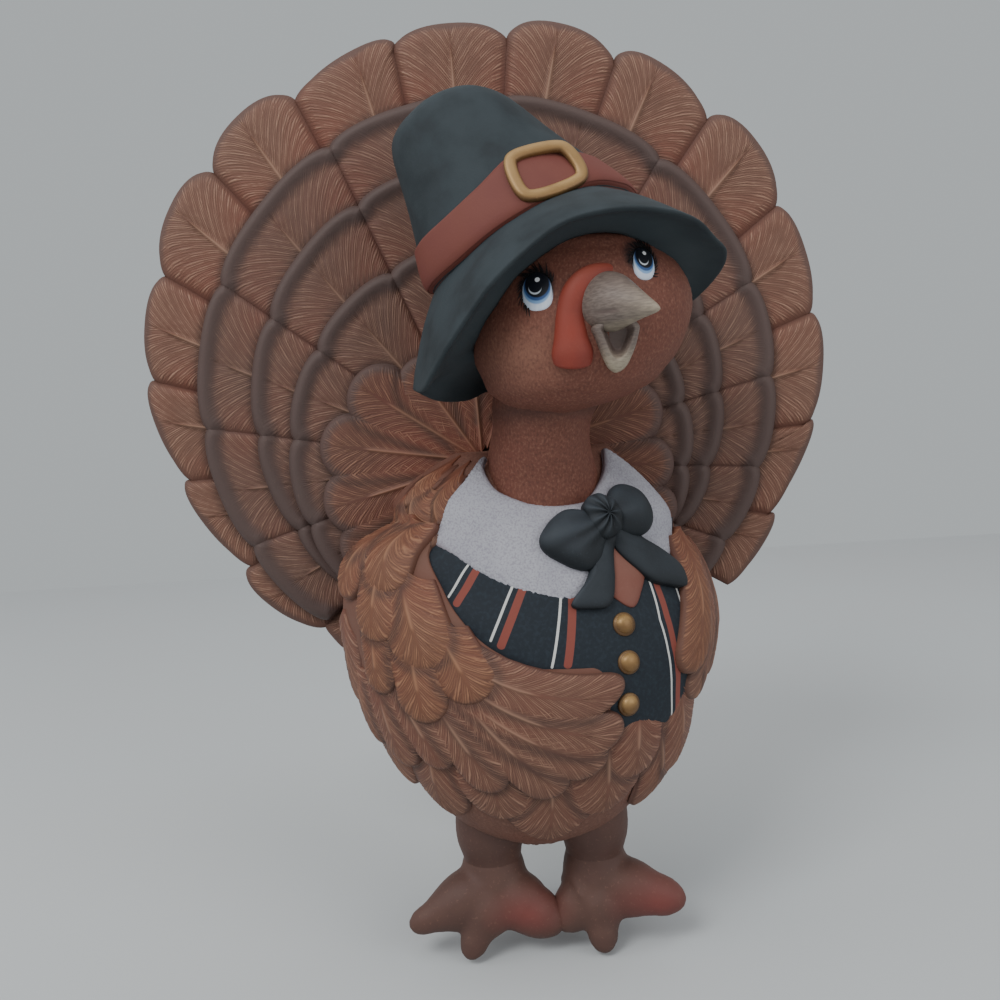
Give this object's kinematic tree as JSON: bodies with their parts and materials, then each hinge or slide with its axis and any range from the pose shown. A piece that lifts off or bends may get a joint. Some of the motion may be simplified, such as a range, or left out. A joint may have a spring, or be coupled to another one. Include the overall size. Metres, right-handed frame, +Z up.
{
  "type": "ceramic turkey wall plaque",
  "caption": "High-relief ceramic wall plaque of a turkey with a pilgrim hat, collar and vest before a full tail fan, hung by a keyhole in its flat back.",
  "frame": {"origin": "where the nail bears, at the top of the keyhole slot, in the plane of the flat back that lies on the wall", "axes": "+X to the viewer's right, +Y from the plaque into the wall, +Z up the wall"},
  "size_m": [0.3163, 0.1283, 0.4109],
  "materials": {
    "bare_clay": "unglazed fired earthenware, matt",
    "feather_brown": "matt paint, terracotta brown, dry-brushed lighter on the barbs",
    "feather_dark": "matt paint, copper brown with dark umber tips",
    "feather_golden": "matt paint, golden brown, dry-brushed",
    "skin_brown": "matt paint over finely stippled clay",
    "hat_black": "matt paint, green-black, dry-brushed grey on the upper faces",
    "rust_paint": "matt paint, rust red",
    "worn_gold": "gold paint, worn darker in the hollows",
    "beak_grey": "matt paint, taupe with a cream tip",
    "snood_red": "matt paint, red-orange",
    "eye_paint": "gloss-varnished paint: black, blue and white",
    "collar_white": "matt paint, off-white, stippled like cloth",
    "vest_black": "matt paint, blue-black with rust and white stripes"
  },
  "bodies": {
    "root": {"rear_wall": "bare_clay", "tail_feather_01": "feather_brown", "tail_feather_02": "feather_brown", "tail_feather_03": "feather_brown", "tail_feather_04": "feather_brown", "tail_feather_05": "feather_brown", "tail_feather_06": "feather_brown", "tail_feather_07": "feather_brown", "tail_feather_08": "feather_brown", "tail_feather_09": "feather_brown", "tail_feather_10": "feather_brown", "tail_feather_11": "feather_brown", "tail_feather_12": "feather_brown", "tail_feather_13": "feather_brown", "tail_feather_14": "feather_brown", "tail_feather_15": "feather_brown", "tail_feather_16": "feather_brown", "tail_row_2": "feather_dark", "tail_row_3": "feather_dark", "tail_row_4": "feather_dark", "tail_row_inner": "feather_brown", "torso": "feather_brown", "neck": "skin_brown", "left_wing_coverts": "feather_golden", "left_wing_feathers": "feather_brown", "right_wing_coverts": "feather_golden", "right_wing_feathers": "feather_brown", "collar": "collar_white", "shirt_front": "rust_paint", "vest": "vest_black", "belly_feathers": "feather_brown", "vest_button_1": "worn_gold", "vest_button_2": "worn_gold", "vest_button_3": "worn_gold", "bow_knot": "vest_black", "bow_left_loop": "vest_black", "bow_right_loop": "vest_black", "bow_left_tail": "vest_black", "bow_right_tail": "vest_black", "head": "skin_brown", "left_eye": "eye_paint", "right_eye": "eye_paint", "upper_beak": "beak_grey", "lower_beak": "beak_grey", "snood": "snood_red", "hat_brim": "hat_black", "hat_crown": "hat_black", "hat_band": "rust_paint", "hat_buckle": "worn_gold", "left_foot": "skin_brown", "left_leg": "skin_brown", "right_foot": "skin_brown", "right_leg": "skin_brown"}
  },
  "joints": []
}
